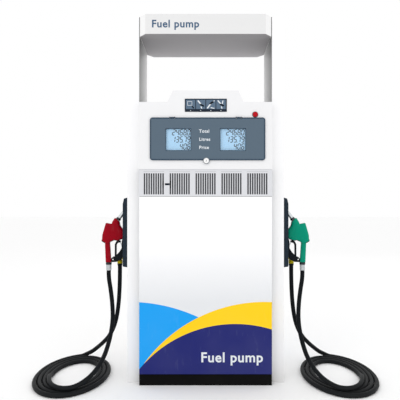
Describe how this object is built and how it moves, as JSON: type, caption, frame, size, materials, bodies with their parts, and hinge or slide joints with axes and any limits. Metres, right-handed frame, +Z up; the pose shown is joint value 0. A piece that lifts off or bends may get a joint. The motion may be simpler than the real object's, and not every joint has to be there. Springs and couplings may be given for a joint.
{
  "type": "fuel dispenser",
  "caption": "Free-standing fuel dispenser: steel cabinet with display head, tall side columns and header, and a nozzle in a boot with a coiled delivery hose at each side.",
  "frame": {"origin": "floor under the centre of the cabinet", "axes": "+Z up, the front face looks along -Y, the red nozzle is on the -X side"},
  "size_m": [2.157, 0.778, 2.24],
  "materials": {
    "plinth_black": "satin black powder coat",
    "casing_white": "white powder coat",
    "door_front": "white powder coat with coloured bands",
    "casing_grey": "pale grey powder coat",
    "soffit_grey": "grey powder coat",
    "frame_steel": "galvanised",
    "plate_print": "printed plate",
    "lcd_panel": "lit liquid crystal panel",
    "counter_black": "black plastic",
    "boot_plastic": "dark slate moulding",
    "fitting_yellow": "yellow passivated",
    "motor_paint": "blue grey enamel",
    "pump_iron": "cast, painted",
    "meter_alloy": "die cast",
    "valve_brass": "machined",
    "pipe_steel": "galvanised",
    "belt_rubber": "matte",
    "hose_rubber": "smooth black cover",
    "display_slate": "slate blue overlay",
    "window_clear": "clear",
    "lock_white": "white cap",
    "button_red": "gloss red",
    "nozzle_red": "red sleeve",
    "nozzle_green": "green sleeve",
    "spout_alloy": "bright",
    "guard_black": "black nylon",
    "lever_black": "black nylon",
    "swivel_chrome": "bright",
    "pulley_iron": "machined"
  },
  "bodies": {
    "cabinet": {"base_plinth": "plinth_black", "inner_frame": "frame_steel", "side_column_left": "casing_white", "side_column_right": "casing_white", "header_shell": "casing_grey", "header_soffit": "soffit_grey", "head_shell": "casing_grey", "vent_band_front": "casing_grey", "vent_band_rear": "casing_grey", "instruction_plates": "plate_print", "lcd_modules": "lcd_panel", "totalisers": "counter_black", "control_box": "frame_steel", "hinge_pins": "frame_steel", "frame_bolts": "frame_steel", "drive_belts": "belt_rubber", "boot_left": "boot_plastic", "boot_right": "boot_plastic", "outlet_fitting_left": "fitting_yellow", "outlet_fitting_right": "fitting_yellow", "motor_left": "motor_paint", "motor_right": "motor_paint", "pump_left": "pump_iron", "pump_right": "pump_iron", "meter_left": "meter_alloy", "meter_right": "meter_alloy", "valve_left": "valve_brass", "valve_right": "valve_brass", "pipework_left": "pipe_steel", "pipework_right": "pipe_steel", "hose_outlet_run_left": "hose_rubber", "hose_outlet_run_right": "hose_rubber", "hose_coil_left": "hose_rubber", "hose_coil_right": "hose_rubber", "hose_nozzle_run_left": "hose_rubber", "hose_nozzle_run_right": "hose_rubber"},
    "display_door_front": {"display_door_front": "display_slate", "display_window_front": "window_clear"},
    "door_lock_front": {"door_lock_front": "lock_white"},
    "lower_door_front": {"lower_door_front": "door_front"},
    "stop_button_front": {"stop_button_front": "button_red"},
    "display_door_rear": {"display_door_rear": "display_slate", "display_window_rear": "window_clear"},
    "door_lock_rear": {"door_lock_rear": "lock_white"},
    "lower_door_rear": {"lower_door_rear": "door_front"},
    "stop_button_rear": {"stop_button_rear": "button_red"},
    "nozzle_left": {"nozzle_body_left": "nozzle_red", "nozzle_spout_left": "spout_alloy", "lever_guard_left": "guard_black"},
    "trigger_lever_left": {"trigger_lever_left": "lever_black"},
    "hose_swivel_left": {"hose_swivel_left": "swivel_chrome"},
    "motor_pulley_left": {"motor_pulley_left": "pulley_iron"},
    "pump_pulley_left": {"pump_pulley_left": "pulley_iron"},
    "nozzle_right": {"nozzle_body_right": "nozzle_green", "nozzle_spout_right": "spout_alloy", "lever_guard_right": "guard_black"},
    "trigger_lever_right": {"trigger_lever_right": "lever_black"},
    "hose_swivel_right": {"hose_swivel_right": "swivel_chrome"},
    "motor_pulley_right": {"motor_pulley_right": "pulley_iron"},
    "pump_pulley_right": {"pump_pulley_right": "pulley_iron"}
  },
  "joints": [
    {"name": "display_door_front_hinge", "type": "hinge", "parent": "cabinet", "child": "display_door_front", "pos_m": [0, -0.258, 1.614], "axis": [-1, 0, 0], "range_deg": [0, 80]},
    {"name": "door_lock_front_turn", "type": "hinge", "parent": "display_door_front", "child": "door_lock_front", "pos_m": [0.0045, -0.262, 1.354], "axis": [0, 1, 0], "range_deg": [0, 90]},
    {"name": "lower_door_front_hinge", "type": "hinge", "parent": "cabinet", "child": "lower_door_front", "pos_m": [-0.392, -0.236, 0.6], "axis": [0, 0, -1], "range_deg": [0, 100]},
    {"name": "stop_button_front_press", "type": "slide", "parent": "cabinet", "child": "stop_button_front", "axis": [0, 1, 0], "range_m": [0, 0.004], "stiffness_N_per_m": 400, "springref_m": -0.002},
    {"name": "display_door_rear_hinge", "type": "hinge", "parent": "cabinet", "child": "display_door_rear", "pos_m": [0, 0.258, 1.614], "axis": [1, 0, 0], "range_deg": [0, 80]},
    {"name": "door_lock_rear_turn", "type": "hinge", "parent": "display_door_rear", "child": "door_lock_rear", "pos_m": [-0.0045, 0.262, 1.354], "axis": [0, -1, 0], "range_deg": [0, 90]},
    {"name": "lower_door_rear_hinge", "type": "hinge", "parent": "cabinet", "child": "lower_door_rear", "pos_m": [0.392, 0.236, 0.6], "axis": [0, 0, -1], "range_deg": [0, 100]},
    {"name": "stop_button_rear_press", "type": "slide", "parent": "cabinet", "child": "stop_button_rear", "axis": [0, -1, 0], "range_m": [0, 0.004], "stiffness_N_per_m": 400, "springref_m": -0.002},
    {"name": "nozzle_left_withdraw", "type": "slide", "parent": "cabinet", "child": "nozzle_left", "axis": [-1, 0, 0], "range_m": [0, 0.15]},
    {"name": "trigger_lever_left_squeeze", "type": "hinge", "parent": "nozzle_left", "child": "trigger_lever_left", "pos_m": [-0.562, 0, 0.849], "axis": [0, 1, 0], "range_deg": [0, 9], "stiffness_Nm_per_rad": 2, "springref_deg": -5.73},
    {"name": "hose_swivel_left_turn", "type": "hinge", "parent": "nozzle_left", "child": "hose_swivel_left", "pos_m": [-0.631, 0, 0.68], "axis": [0, 0, 1], "continuous": true},
    {"name": "pump_pulley_left_spin", "type": "hinge", "parent": "cabinet", "child": "pump_pulley_left", "pos_m": [-0.12, -0.1, 0.24], "axis": [0, 1, 0], "continuous": true},
    {"name": "motor_pulley_left_spin", "type": "hinge", "parent": "cabinet", "child": "motor_pulley_left", "pos_m": [-0.3, -0.1, 0.2], "axis": [0, 1, 0], "continuous": true},
    {"name": "nozzle_right_withdraw", "type": "slide", "parent": "cabinet", "child": "nozzle_right", "axis": [1, 0, 0], "range_m": [0, 0.15]},
    {"name": "trigger_lever_right_squeeze", "type": "hinge", "parent": "nozzle_right", "child": "trigger_lever_right", "pos_m": [0.562, 0, 0.849], "axis": [0, -1, 0], "range_deg": [0, 9], "stiffness_Nm_per_rad": 2, "springref_deg": -5.73},
    {"name": "hose_swivel_right_turn", "type": "hinge", "parent": "nozzle_right", "child": "hose_swivel_right", "pos_m": [0.631, 0, 0.68], "axis": [0, 0, 1], "continuous": true},
    {"name": "pump_pulley_right_spin", "type": "hinge", "parent": "cabinet", "child": "pump_pulley_right", "pos_m": [0.12, -0.1, 0.24], "axis": [0, 1, 0], "continuous": true},
    {"name": "motor_pulley_right_spin", "type": "hinge", "parent": "cabinet", "child": "motor_pulley_right", "pos_m": [0.3, -0.1, 0.2], "axis": [0, 1, 0], "continuous": true}
  ],
  "couplings": [
    {"joint": "motor_pulley_left_spin", "follows": "pump_pulley_left_spin", "ratio": 3},
    {"joint": "motor_pulley_right_spin", "follows": "pump_pulley_right_spin", "ratio": 3}
  ]
}
